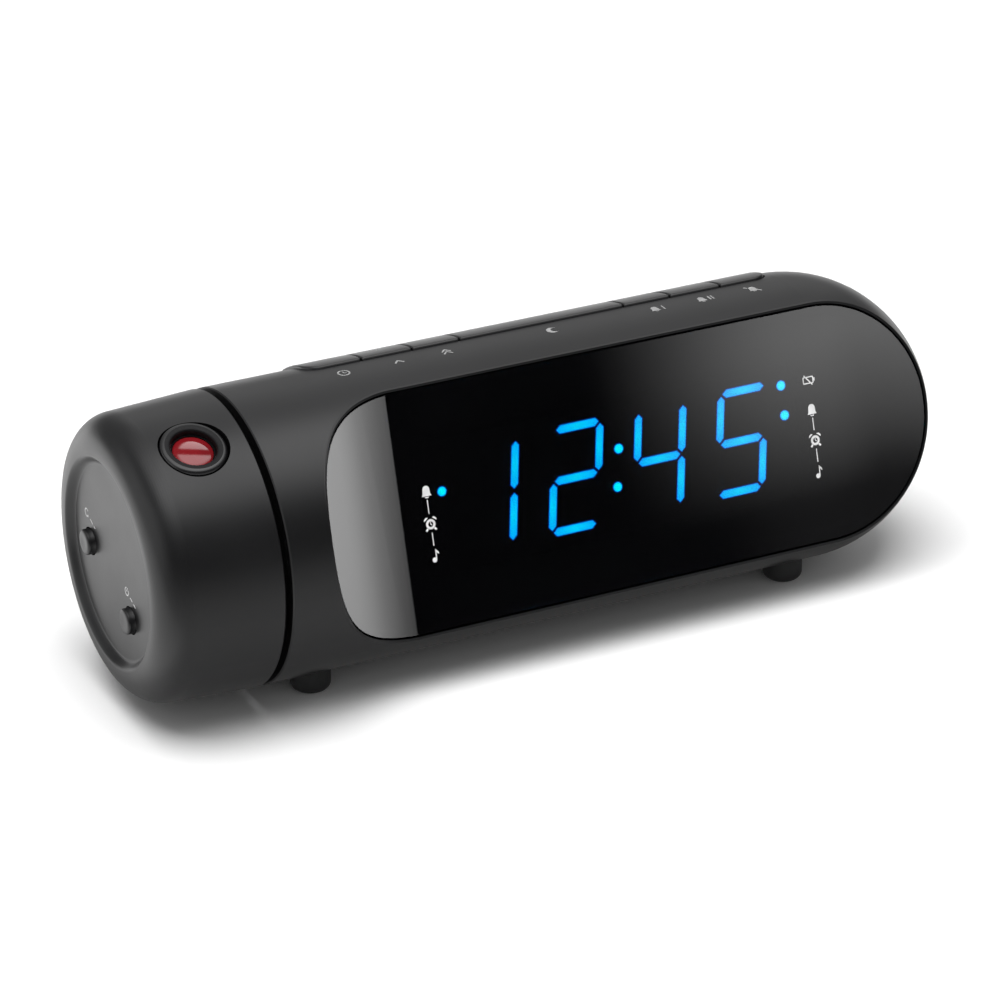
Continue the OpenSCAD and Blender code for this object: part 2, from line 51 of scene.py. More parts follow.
# ---------------------------------------------------------------- materials
def new_mat(name):
    m = bpy.data.materials.new(name)
    m.use_nodes = True
    nt = m.node_tree
    return m, nt, nt.nodes["Principled BSDF"]


def put(bsdf, **kw):
    for k, v in kw.items():
        bsdf.inputs[k.replace("_", " ")].default_value = v


def noise(nt, scale, detail=4.0, rough=0.55, coord="Object", stretch=None, dist=0.0):
    tc = nt.nodes.new("ShaderNodeTexCoord")
    out = tc.outputs[coord]
    if stretch:
        mp = nt.nodes.new("ShaderNodeMapping")
        mp.inputs["Scale"].default_value = stretch
        nt.links.new(out, mp.inputs["Vector"])
        out = mp.outputs["Vector"]
    n = nt.nodes.new("ShaderNodeTexNoise")
    n.inputs["Scale"].default_value = scale
    n.inputs["Detail"].default_value = detail
    n.inputs["Roughness"].default_value = rough
    n.inputs["Distortion"].default_value = dist
    nt.links.new(out, n.inputs["Vector"])
    return n


def ramp(nt, src, lo, hi, a=0.3, b=0.7):
    r = nt.nodes.new("ShaderNodeMapRange")
    r.inputs["From Min"].default_value, r.inputs["From Max"].default_value = a, b
    r.inputs["To Min"].default_value, r.inputs["To Max"].default_value = lo, hi
    nt.links.new(src, r.inputs["Value"])
    return r.outputs["Result"]


def tint(nt, src, c0, c1, a=0.35, b=0.65):
    r = nt.nodes.new("ShaderNodeValToRGB")
    r.color_ramp.elements[0].position, r.color_ramp.elements[1].position = a, b
    r.color_ramp.elements[0].color = (*c0, 1)
    r.color_ramp.elements[1].color = (*c1, 1)
    nt.links.new(src, r.inputs["Fac"])
    return r.outputs["Color"]


def bump(nt, bsdf, src, strength, distance, after=None):
    b = nt.nodes.new("ShaderNodeBump")
    b.inputs["Strength"].default_value = strength
    b.inputs["Distance"].default_value = distance
    nt.links.new(src, b.inputs["Height"])
    if after is not None:
        nt.links.new(after, b.inputs["Normal"])
    nt.links.new(b.outputs["Normal"], bsdf.inputs["Normal"])
    return b.outputs["Normal"]


def plastic(name, c, rough=0.4, grain=0.00002, size=900.0, spread=0.15, rvar=0.05, level=0.5):
    """Moulded plastic: fine spark texture, slow tone and gloss changes."""
    m, nt, b = new_mat(name)
    put(b, IOR=1.5, Specular_IOR_Level=level)
    n1 = noise(nt, 22.0, 3.0)
    lo, hi = [x * (1 - spread) for x in c], [x * (1 + spread) for x in c]
    nt.links.new(tint(nt, n1.outputs["Fac"], lo, hi), b.inputs["Base Color"])
    n2 = noise(nt, 60.0, 5.0, 0.6)
    nt.links.new(ramp(nt, n2.outputs["Fac"], rough - rvar, rough + rvar), b.inputs["Roughness"])
    n3 = noise(nt, size, 2.0, 0.5)
    bump(nt, b, n3.outputs["Fac"], 0.35, grain)
    return m


def metal(name, c, rough=0.3, brushed=(1, 1, 1), var=0.08):
    m, nt, b = new_mat(name)
    put(b, Metallic=1.0)
    n1 = noise(nt, 140.0, 4.0, 0.6, stretch=brushed)
    nt.links.new(tint(nt, n1.outputs["Fac"], [x * 0.8 for x in c], c), b.inputs["Base Color"])
    n2 = noise(nt, 700.0, 3.0, 0.6, stretch=brushed)
    nt.links.new(ramp(nt, n2.outputs["Fac"], rough - var, rough + var), b.inputs["Roughness"])
    bump(nt, b, n2.outputs["Fac"], 0.2, 0.00001)
    return m


HOUSING = plastic("satin_black", (0.0052, 0.0052, 0.0057), 0.32, 0.000010, 1500.0, 0.12, 0.03, 0.36)
BARREL = plastic("satin_black_barrel", (0.0052, 0.0052, 0.0057), 0.32, 0.000010, 1500.0, 0.12, 0.03, 0.36)
KEYS = plastic("key_black", (0.0065, 0.0065, 0.0072), 0.3, 0.000010, 1700.0, 0.1, 0.03, 0.45)
RING = plastic("ring_black", (0.0045, 0.0045, 0.005), 0.42, 0.000014, 1600.0, 0.12, 0.04, 0.15)
RINGEDGE = plastic("ring_edge_black", (0.0052, 0.0052, 0.0058), 0.22, 0.000004, 1900.0, 0.1, 0.03, 0.5)
CELL = plastic("lens_cell_black", (0.002, 0.002, 0.0022), 0.7, 0.00002, 900.0, 0.1, 0.05, 0.1)
ENDBTN = plastic("end_button_black", (0.006, 0.006, 0.0066), 0.32, 0.000010, 1700.0, 0.1, 0.03, 0.36)
INNER = plastic("inner_black", (0.006, 0.006, 0.0065), 0.6, 0.00002, 900.0, 0.2, 0.05)
NYLON = plastic("nylon", (0.62, 0.6, 0.55), 0.45, 0.00002, 700.0, 0.06)
SPEAKER = plastic("speaker_zinc", (0.2, 0.2, 0.21), 0.42, 0.00002, 900.0, 0.1)
PAPER = plastic("speaker_paper", (0.02, 0.02, 0.02), 0.85, 0.00008, 500.0, 0.3)
FELT = plastic("felt", (0.02, 0.02, 0.021), 0.95, 0.0002, 500.0, 0.35)
RUBBER = plastic("rubber", (0.010, 0.010, 0.0105), 0.62, 0.00003, 800.0, 0.2, 0.06)
CABLE = plastic("cable", (0.02, 0.02, 0.02), 0.5, 0.00002, 900.0, 0.15)
CONTACT = metal("nickel", (0.72, 0.70, 0.66), 0.25)
STEEL = metal("dark_zinc", (0.17, 0.17, 0.18), 0.32, var=0.1)
LED = plastic("led_yellow", (0.85, 0.66, 0.12), 0.25, 0.00001, 700.0, 0.08)
LEDBOARD = plastic("white_board", (0.75, 0.76, 0.77), 0.4, 0.00001, 700.0, 0.05)


def board_mat():
    m, nt, b = new_mat("circuit_board")
    n1 = noise(nt, 35.0, 4.0)
    base = tint(nt, n1.outputs["Fac"], (0.006, 0.045, 0.016), (0.010, 0.075, 0.026))
    tc = nt.nodes.new("ShaderNodeTexCoord")
    v = nt.nodes.new("ShaderNodeTexVoronoi")
    v.inputs["Scale"].default_value = 260.0
    nt.links.new(tc.outputs["Object"], v.inputs["Vector"])
    pads = tint(nt, v.outputs["Distance"], (1, 1, 1), (0, 0, 0), 0.1, 0.14)
    mix = nt.nodes.new("ShaderNodeMix")
    mix.data_type = "RGBA"
    nt.links.new(pads, mix.inputs[0])
    nt.links.new(base, mix.inputs[6])
    mix.inputs[7].default_value = (0.55, 0.5, 0.38, 1)
    nt.links.new(mix.outputs[2], b.inputs["Base Color"])
    put(b, Roughness=0.35)
    bump(nt, b, pads, 0.3, 0.00004)
    return m


def window_mat():
    """Polished black tinted acrylic: lets a little of the lit bars through."""
    m, nt, b = new_mat("tinted_acrylic")
    n1 = noise(nt, 14.0, 3.0)
    nt.links.new(tint(nt, n1.outputs["Fac"], (0.0014, 0.0014, 0.0017), (0.0022, 0.0022, 0.0026)), b.inputs["Base Color"])
    n2 = noise(nt, 45.0, 6.0, 0.65, stretch=(3.0, 0.6, 0.6))
    nt.links.new(ramp(nt, n2.outputs["Fac"], 0.012, 0.035), b.inputs["Roughness"])
    put(b, IOR=1.52, Alpha=0.9)
    n3 = noise(nt, 9.0, 2.0)
    bump(nt, b, n3.outputs["Fac"], 0.02, 0.0001)
    return m


def lit_mat(name, core, rim, power):
    """Light through a moulded bar: bright along the middle, deeper at the edge."""
    m, nt, b = new_mat(name)
    put(b, Base_Color=(0.0, 0.05, 0.12, 1), Roughness=0.4)
    at_ = nt.nodes.new("ShaderNodeAttribute")
    at_.attribute_name = "glow"
    col = tint(nt, at_.outputs["Fac"], rim, core, 0.3, 0.8)
    halo = [n for n in nt.nodes if n.type == "VALTORGB"][0].color_ramp
    halo.elements.new(0.0).color = (0.0, 0.006, 0.06, 1)
    halo.elements.new(0.12).color = (0.0, 0.02, 0.22, 1)
    halo.elements.new(1.0).color = (0.0, 0.92, 1.0, 1)
    n = noise(nt, 300.0, 2.0)
    mul = nt.nodes.new("ShaderNodeMix")
    mul.data_type = "RGBA"
    mul.blend_type = "MULTIPLY"
    mul.inputs[0].default_value = 1.0
    nt.links.new(col, mul.inputs[6])
    nt.links.new(tint(nt, n.outputs["Fac"], (0.93, 0.93, 0.93), (1, 1, 1)), mul.inputs[7])
    nt.links.new(mul.outputs[2], b.inputs["Emission Color"])
    b.inputs["Emission Strength"].default_value = power
    return m


def print_mat(name, lo, hi):
    m, nt, b = new_mat(name)
    n1 = noise(nt, 400.0, 3.0)
    nt.links.new(tint(nt, n1.outputs["Fac"], (lo, lo, lo), (hi, hi, hi)), b.inputs["Base Color"])
    n2 = noise(nt, 900.0, 3.0)
    nt.links.new(ramp(nt, n2.outputs["Fac"], 0.4, 0.6), b.inputs["Roughness"])
    return m


def red_glass():
    m, nt, b = new_mat("red_glass")
    n1 = noise(nt, 120.0, 2.0)
    nt.links.new(tint(nt, n1.outputs["Fac"], (0.155, 0.006, 0.009), (0.205, 0.009, 0.013)), b.inputs["Base Color"])
    n2 = noise(nt, 300.0, 3.0)
    nt.links.new(ramp(nt, n2.outputs["Fac"], 0.03, 0.07), b.inputs["Roughness"])
    put(b, IOR=1.5)
    return m


def clear_glass(name, c, alpha):
    m, nt, b = new_mat(name)
    n1 = noise(nt, 80.0, 2.0)
    nt.links.new(tint(nt, n1.outputs["Fac"], [x * 0.9 for x in c], c), b.inputs["Base Color"])
    n2 = noise(nt, 200.0, 3.0)
    nt.links.new(ramp(nt, n2.outputs["Fac"], 0.02, 0.06), b.inputs["Roughness"])
    put(b, Alpha=alpha)
    return m


def floor_mat():
    m, nt, b = new_mat("pale_paper")
    n1 = noise(nt, 3.0, 3.0)
    nt.links.new(tint(nt, n1.outputs["Fac"], (0.915, 0.915, 0.915), (0.93, 0.93, 0.93)), b.inputs["Base Color"])
    put(b, Roughness=0.85, Specular_IOR_Level=0.2)
    return m


WINDOW, BOARD, PRINT, REDGLASS = window_mat(), board_mat(), print_mat("white_print", 0.66, 0.8), red_glass()
GREYPRINT = print_mat("grey_print", 0.24, 0.32)
LIT = lit_mat("lit_blue", (0.0, 0.64, 1.0), (0.0, 0.2, 0.95), 98.0)
DARKBAR = plastic("unlit_bar", (0.012, 0.013, 0.016), 0.5, 0.00001, 900.0)
LCD = clear_glass("lcd_glass", (0.25, 0.29, 0.31), 0.6)
CLEAR = clear_glass("clear_lens", (0.85, 0.9, 0.92), 0.35)

by_node = {
    "front_housing": HOUSING, "rear_housing": HOUSING, "battery_door": HOUSING, "pivot_plate": INNER,
    "friction_washer": FELT, "display_window": WINDOW, "digit_bars": DARKBAR, "display_reflector": INNER,
    "display_board": BOARD, "main_board": BOARD, "board_spacers": NYLON, "key_board": BOARD,
    "key_switches": INNER, "speaker_frame": SPEAKER, "speaker_cone": PAPER, "battery_contacts": CONTACT,
    "power_socket": INNER, "power_pin": CONTACT, "antenna_grommet": RUBBER, "feet": RUBBER,
    "housing_screws": STEEL, "projector_housing": BARREL, "projector_base": INNER, "hub_clip": STEEL,
    "projector_screws": STEEL, "projector_board": BOARD, "projector_switches": INNER,
    "projector_cable": CABLE, "optics_holder": INNER, "lcd_cell": LCD, "condenser_lens": CLEAR,
    "projector_led": LED, "led_board": LEDBOARD, "focus_ring": RING, "lens_cell": CELL,
    "projection_lens": REDGLASS, "upper_button": ENDBTN, "lower_button": ENDBTN}
for k in ("time", "hour", "minute", "sleep", "alarm_1", "alarm_2", "alarm_off"):
    by_node[k + "_key"] = KEYS
for n, o in NODES.items():
    o.data.materials.clear()
    o.data.materials.append(by_node[n])


# ---------------------------------------------------------------- mesh helpers
def make(name, verts, faces, mat, body, replaces=(), smooth=True, attr=None, weld=1e-7, parent=None):
    me = bpy.data.meshes.new(name)
    me.from_pydata([tuple(v) for v in verts], [], faces)
    if attr is not None:
        a = me.attributes.new("glow", "FLOAT", "POINT")
        a.data.foreach_set("value", attr)
    bm = bmesh.new()
    bm.from_mesh(me)
    if weld:
        bmesh.ops.remove_doubles(bm, verts=bm.verts, dist=weld)
    bmesh.ops.dissolve_degenerate(bm, dist=1e-8, edges=bm.edges)
    bmesh.ops.recalc_face_normals(bm, faces=bm.faces)
    bm.to_mesh(me)
    bm.free()
    me.materials.append(mat)
    me.polygons.foreach_set("use_smooth", [smooth] * len(me.polygons))
    o = bpy.data.objects.new(name, me)
    bpy.context.scene.collection.objects.link(o)
    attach(o, body)
    if replaces:
        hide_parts(*replaces)
    return o


def rings_to_faces(n, m, close=False):
    """Faces between m rings of n points each, the points going round."""
    f = []
    for j in range(m if close else m - 1):
        a, b = j * n, ((j + 1) % m) * n
        for i in range(n):
            i2 = (i + 1) % n
            f.append((a + i, a + i2, b + i2, b + i))
    return f


def lathe(points, steps, place):
    """Closed solid of revolution from (radius, height) points that start and end anywhere off the axis (closed ring) or on it."""
    ring = points[0][0] > 1e-6 or points[-1][0] > 1e-6
    v, f = [], []
    for i in range(steps):
        a = 2 * math.pi * i / steps
        for r, h in points:
            v.append(place(r * math.cos(a), r * math.sin(a), h))
    m = len(points)
    for i in range(steps):
        i2 = (i + 1) % steps
        for j in range(m if ring else m - 1):
            j2 = (j + 1) % m
            f.append((i * m + j, i2 * m + j, i2 * m + j2, i * m + j2))
    return v, f


# ---------------------------------------------------------------- display window and its lip
CX, CZ = SCOOP_X + SCOOP_R * math.sin(math.radians(KINK)), WIN_D + SCOOP_R * math.cos(math.radians(KINK))


def face_start(k):
    return math.acos((CZ - WIN_D + k) / (SCOOP_R + k))


def face_at(s, k):
    """Place along the body and distance from the axis of a point on the display face moved back by k. s is 0..1: left rim to the crease is 0..0.25."""
    a0 = face_start(k)
    if s >= 0:
        return CX - (SCOOP_R + k) * math.sin(a0) + s, WIN_D - k
    a = a0 - s / SCOOP_R
    return CX - (SCOOP_R + k) * math.sin(a), CZ - (SCOOP_R + k) * math.cos(a)


def half_width(x, nd, r):
    d = r * r - nd * nd - (max(0.0, x - X1) ** 2)
    return math.sqrt(d) if d > 0 else 0.0


def outline(k, r, n):
    """Closed outline of the face moved back by k where it meets radius r: list of (s, w)."""
    a0 = face_start(k)
    aL = math.acos(min(1.0, (CZ - r) / (SCOOP_R + k)))
    sL = -(aL - a0) * SCOOP_R
    xs = CX - (SCOOP_R + k) * math.sin(a0)
    sR = X1 + math.sqrt(max(0.0, r * r - (WIN_D - k) ** 2)) - xs
    us = [sL + (sR - sL) * (1 - math.cos(math.pi * i / n)) / 2 for i in range(n + 1)]
    us.append(0.0)  # the crease
    us = sorted(us)
    ws = [half_width(*face_at(s, k), r) if 0 < i < len(us) - 1 else 0.0 for i, s in enumerate(us)]
    return us, ws


def face_point(s, w, k):
    x, nd = face_at(s, k)
    return at(WIN_DIR, x, w, nd)


def face_ring(k, r, n):
    us, ws = outline(k, r, n)
    pts = [face_point(s, w, k) for s, w in zip(us, ws)]
    pts += [face_point(s, -w, k) for s, w in list(zip(us, ws))[-2:0:-1]]
    return pts


def window_piece(name, right, replaces=()):
    """The window right of the crease, or its curved end left of it: two closed pieces that meet at the crease."""
    n = 220
    rows = 14
    levels = [(1.55, 30.25), (0.14, 30.25), (0.07, 30.235), (0.025, 30.195), (0.004, 30.14), (0.0, 30.08), (0.0, 29.9)]
    v = []

    def half(k, r):
        us, ws = outline(k, r, n)
        sw = [(s, w) for s, w in zip(us, ws) if (s >= 0.0 if right else s <= 0.0)]
        return sw if right else sw[::-1]
    for k, r in levels:
        sw = half(k, r)
        v += [face_point(s, w, k) for s, w in sw] + [face_point(s, -w, k) for s, w in sw[-2::-1]]
        v += [face_point(0.0, sw[0][1] * (2 * j / rows - 1), k) for j in range(1, rows)]
    cnt = len(v) // len(levels)
    f = rings_to_faces(cnt, len(levels))
    for level, flip in ((6, False), (0, True)):
        k, r = levels[level]
        sw = half(k, r)
        us = [s for s, w in sw]
        base = len(v)
        for s, w in sw:
            for j in range(rows + 1):
                v.append(face_point(s, w * (2 * j / rows - 1), k))
        for i in range(len(us) - 1):
            for j in range(rows):
                a = base + i * (rows + 1) + j
                q = (a, a + rows + 1, a + rows + 2, a + 1)
                f.append(q[::-1] if flip else q)
    return make(name, v, f, WINDOW, "clock_body", replaces, weld=2e-6)


def crease_sharp(o, k=0.0):
    """Marks the crease across the window as a sharp edge, so that it stays crisp."""
    me = o.data
    x0 = face_at(0.0, 0.0)[0] * MM
    att = me.attributes.get("sharp_edge") or me.attributes.new("sharp_edge", "BOOLEAN", "EDGE")
    val = [False] * len(me.edges)
    for e in me.edges:
        a, b = (me.vertices[i].co for i in e.vertices)
        val[e.index] = abs(a.x - x0) < 2e-5 and abs(b.x - x0) < 2e-5
    att.data.foreach_set("value", val)


def lip_piece():
    n = 220
    levels = [(0.6, 30.62), (0.12, 30.62), (0.04, 30.65), (0.0, 30.72), (-0.01, 30.8), (0.01, 30.9),
              (0.05, 30.97), (0.12, 31.02), (0.24, 31.03), (0.5, 30.9)]
    v = []
    for k, r in levels:
        v += face_ring(k, r, n)
    cnt = len(v) // len(levels)
    return make("window_lip", v, rings_to_faces(cnt, len(levels), True), HOUSING, "clock_body", weld=0)


def soften(o):
    """Shading of the curved left end: its slope is eased towards the rim, like a pressed sheet that flattens out at its edge."""
    me = o.data
    me.update()
    xs = face_at(0.0, 0.0)[0]
    c, s = math.cos(math.radians(WIN_DIR)), math.sin(math.radians(WIN_DIR))
    out = [(0.0, 0.0, 0.0)] * len(me.loops)
    for p in me.polygons:
        x = p.center.x / MM
        nd = -p.center.y / MM * s + (p.center.z / MM - AXIS) * c
        left = x < xs
        if left:
            a = math.asin(min(1.0, max(0.0, (CX - x) / SCOOP_R)))
            want = CZ - SCOOP_R * math.cos(a)
        else:
            want = WIN_D
        if abs(nd - want) > 0.035:
            continue
        for li in p.loop_indices:
            q = me.vertices[me.loops[li].vertex_index].co
            b = 0.0
            if left:
                b = math.degrees(math.asin(min(1.0, max(0.0, (CX - q.x / MM) / SCOOP_R))))
                b = b if b < 24 else 24 + 9 * (1 - math.exp(-(b - 24) / 9))
            b = math.radians(b)
            out[li] = (math.sin(b), -s * math.cos(b), c * math.cos(b))
    me.normals_split_custom_set(out)


flat_glass = window_piece("display_window_glass", True, ["display_window"])
curved_glass = window_piece("display_window_curved_end", False)
for glass in (flat_glass, curved_glass):
    crease_sharp(glass)
    soften(glass)
lip_piece()

# ---------------------------------------------------------------- display bars
LEAN, BH, BW, BAR = 0.171, 10.53, 5.27, 1.75
DX, DY = -14.57, -0.29
PITCH = 19.65


def bar_outline(length, width):
    h = width / 2
    return [(-length / 2, 0), (-length / 2 + h, -h), (length / 2 - h, -h), (length / 2, 0), (length / 2 - h, h), (-length / 2 + h, h)]


def round_poly(pts, r, steps=4):
    """Rounds the corners of a convex polygon with a small radius."""
    out = []
    n = len(pts)
    for i in range(n):
        p0, p1, p2 = Vector(pts[i - 1]), Vector(pts[i]), Vector(pts[(i + 1) % n])
        d0, d1 = (p0 - p1).normalized(), (p2 - p1).normalized()
        half = d0.angle(d1) / 2
        t = min(r / math.tan(half), 0.45 * (p0 - p1).length, 0.45 * (p2 - p1).length)
        a, b = p1 + d0 * t, p1 + d1 * t
        for j in range(steps + 1):
            q = j / steps
            out.append(tuple((1 - q) ** 2 * a + 2 * q * (1 - q) * p1 + q * q * b))
    return out


def inset(pts, e):
    c = Vector((sum(p[0] for p in pts) / len(pts), sum(p[1] for p in pts) / len(pts)))
    out = []
    n = len(pts)
    for i in range(n):
        p0, p1, p2 = Vector(pts[i - 1]), Vector(pts[i]), Vector(pts[(i + 1) % n])
        t = (p2 - p0)
        if t.length < 1e-9:
            out.append(pts[i])
            continue
        nrm = Vector((-t.y, t.x)).normalized()
        if nrm.dot(c - p1) < 0:
            nrm = -nrm
        out.append(tuple(p1 + nrm * e))
    return out


def densify(pts, step_mm):
    """Adds points along the long edges of a polygon."""
    out = []
    for (x0, y0), (x1, y1) in zip(pts, pts[1:] + pts[:1]):
        k = max(1, int(math.hypot(x1 - x0, y1 - y0) / step_mm))
        out += [(x0 + (x1 - x0) * i / k, y0 + (y1 - y0) * i / k) for i in range(k)]
    return out


SEG = {"a": (0, BH, 0), "g": (0, 0, 0), "d": (0, -BH, 0), "f": (-BW, BH / 2, 1), "b": (BW, BH / 2, 1),
       "e": (-BW, -BH / 2, 1), "c": (BW, -BH / 2, 1)}
SHOWN = ["bc", "abged", "fgbc", "afgcd"]


def bars(lit):
    v, f, g = [], [], []

    def add(shape, centre, half=5.0, peak=0.8, halo=0.18):
        """One bar or dot with a rounded top, brightest in the middle, on a thin skirt that glows faintly round it."""
        base = len(v)
        shape = densify(shape, 0.9)
        n = len(shape)
        levels = ((-halo, 14.42, 0.0), (-halo, 15.1, 0.0), (0.0, 15.11, 0.12), (0.02, 15.13, 0.3), (0.1, 15.15, 0.45), (0.22, 15.17, 0.86), (0.42, 15.18, 1.0))
        for e, z, glow in levels:
            for x, y in inset(shape, e):
                v.append(at(WIN_DIR, x, y + DY, z))
                fade = 1 - 0.55 * min(1.0, math.hypot(x - centre[0], y - centre[1]) / half)
                g.append(0.3 + (peak - 0.3) * glow * fade if glow > 0.3 else glow)
        f.extend([tuple(base + i for i in q) for q in rings_to_faces(n, len(levels))])
        top = base + (len(levels) - 1) * n
        c = len(v)
        v.append(at(WIN_DIR, centre[0], centre[1] + DY, 15.18))
        g.append(peak)
        for i in range(n):
            f.append((top + i, top + (i + 1) % n, c))
        f.append(tuple(base + i for i in range(n))[::-1])

    for d, shown in enumerate(SHOWN):
        for s, (sx, sy, up) in SEG.items():
            if (s in shown) != lit:
                continue
            ln = BH - 0.85 if up else 2 * BW - 0.6
            shape = bar_outline(ln, BAR)
            if up:
                shape = [(-y, x) for x, y in shape]
            shape = [(x + sx, y + sy) for x, y in round_poly(shape, 0.12)]
            shape = [(x + LEAN * y + DX + d * PITCH, y) for x, y in shape]
            add(shape, (sx + LEAN * sy + DX + d * PITCH, sy))
    if lit:
        for x, y, r in ((14.94 + LEAN * 3.95, 3.95, 1.05), (14.94 - LEAN * 3.95, -3.95, 1.05), (-25.42, 3.12, 1.02), (55.28, 3.33, 1.08), (55.25, 9.74, 1.08)):
            add([(x + r * math.cos(2 * math.pi * i / 28), y + r * math.sin(2 * math.pi * i / 28)) for i in range(28)], (x, y), 6.0, 1.0)
    return v, f, g


v, f, g = bars(True)
lit = make("lit_bars", v, f, LIT, "clock_body", ["digit_bars"], attr=g, weld=0)
v, f, g = bars(False)
make("unlit_bars", v, f, DARKBAR, "clock_body", weld=0)


# ---------------------------------------------------------------- printed symbols
def disc(cx, cy, r, n=24):
    return [(cx + r * math.cos(2 * math.pi * i / n), cy + r * math.sin(2 * math.pi * i / n)) for i in range(n)]


def stroke(pts, w):
    """Quads along a line of points."""
    out = []
    for (x0, y0), (x1, y1) in zip(pts, pts[1:]):
        d = math.hypot(x1 - x0, y1 - y0)
        nx, ny = -(y1 - y0) / d * w / 2, (x1 - x0) / d * w / 2
        out.append([(x0 + nx, y0 + ny), (x0 - nx, y0 - ny), (x1 - nx, y1 - ny), (x1 + nx, y1 + ny)])
    return out


def ring_shape(cx, cy, r, w, n=28, a0=0.0, a1=360.0):
    pts = [(cx + r * math.cos(math.radians(a0 + (a1 - a0) * i / n)), cy + r * math.sin(math.radians(a0 + (a1 - a0) * i / n))) for i in range(n + 1)]
    return stroke(pts, w)


def bell(cx, cy, s=1.0):
    body = []
    for i in range(13):
        a = math.pi * i / 12
        body.append((cx + 0.78 * s * math.cos(a), cy + (0.42 + 0.82 * math.sin(a)) * s))
    body += [(cx - 0.86 * s, cy - 0.45 * s), (cx - 1.12 * s, cy - 0.92 * s), (cx + 1.12 * s, cy - 0.92 * s), (cx + 0.86 * s, cy - 0.45 * s)]
    return [body, [(cx - 0.5 * s, cy - 1.08 * s), (cx + 0.5 * s, cy - 1.08 * s), (cx + 0.3 * s, cy - 1.34 * s), (cx - 0.3 * s, cy - 1.34 * s)]]


def alarm(cx, cy, s=1.0):
    out = ring_shape(cx, cy, 0.82 * s, 0.52 * s)
    for q in (-1, 1):
        out.append([(cx + q * 0.45 * s, cy + 1.42 * s), (cx + q * 0.95 * s, cy + 1.5 * s), (cx + q * 1.42 * s, cy + 1.05 * s), (cx + q * 1.4 * s, cy + 0.7 * s), (cx + q * 0.98 * s, cy + 0.98 * s)][::q])
        out += stroke([(cx + q * 0.75 * s, cy - 0.85 * s), (cx + q * 1.15 * s, cy - 1.3 * s)], 0.42 * s)
    out += stroke([(cx, cy + 0.45 * s), (cx, cy - 0.02 * s), (cx + 0.3 * s, cy - 0.2 * s)], 0.17 * s)
    return out


def note(cx, cy, s=1.0):
    return [disc(cx - 0.25 * s, cy - 0.95 * s, 0.52 * s)] + stroke([(cx + 0.18 * s, cy - 0.95 * s), (cx + 0.18 * s, cy + 1.2 * s)], 0.22 * s) + \
        [[(cx + 0.08 * s, cy + 1.3 * s), (cx + 0.1 * s, cy + 0.78 * s), (cx + 0.85 * s, cy + 0.1 * s), (cx + 0.78 * s, cy + 0.62 * s)]]


def battery(cx, cy, s=1.0):
    out = stroke([(cx - 1.35 * s, cy - 0.7 * s), (cx - 1.35 * s, cy + 0.7 * s), (cx + 1.1 * s, cy + 0.7 * s), (cx + 1.1 * s, cy - 0.7 * s), (cx - 1.35 * s, cy - 0.7 * s)], 0.24 * s)
    out += stroke([(cx + 1.4 * s, cy - 0.35 * s), (cx + 1.4 * s, cy + 0.35 * s)], 0.3 * s)
    out += stroke([(cx - 1.1 * s, cy + 1.15 * s), (cx + 0.85 * s, cy - 1.15 * s)], 0.26 * s)
    return out


def printed(name, shapes, mat, place, lift=0.03, under=0.02, body="clock_body"):
    v, f = [], []
    for sh in shapes:
        n, base = len(sh), len(v)
        v += [place(x, y, -under) for x, y in sh] + [place(x, y, lift) for x, y in sh]
        f.append(tuple(base + i for i in range(n))[::-1])
        f.append(tuple(base + n + i for i in range(n)))
        for i in range(n):
            f.append((base + i, base + (i + 1) % n, base + n + (i + 1) % n, base + n + i))
    return make(name, v, f, mat, body, smooth=False, weld=0)


def on_window(x, y, h):
    return at(WIN_DIR, x + 0.45, y + 0.13, WIN_D + h)


def on_body(x, y, h):
    """y is the distance round the body towards the back, from straight up."""
    a = y / R
    r = R + h
    return Vector((x * MM, r * math.sin(a) * MM, (AXIS + r * math.cos(a)) * MM))


signs = bell(-30.2, 3.7) + stroke([(-30.2, 2.0), (-30.2, -0.9)], 0.2) + alarm(-30.15, -3.1) + stroke([(-30.1, -4.9), (-30.1, -7.6)], 0.2) + note(-30.05, -9.6)
signs += battery(60.5, 9.6, 0.95) + bell(60.4, 3.2) + stroke([(60.4, 1.5), (60.4, -1.2)], 0.2) + alarm(60.4, -3.4) + stroke([(60.4, -5.2), (60.4, -8.1)], 0.2) + note(60.35, -10.1)
printed("window_signs", signs, PRINT, on_window)


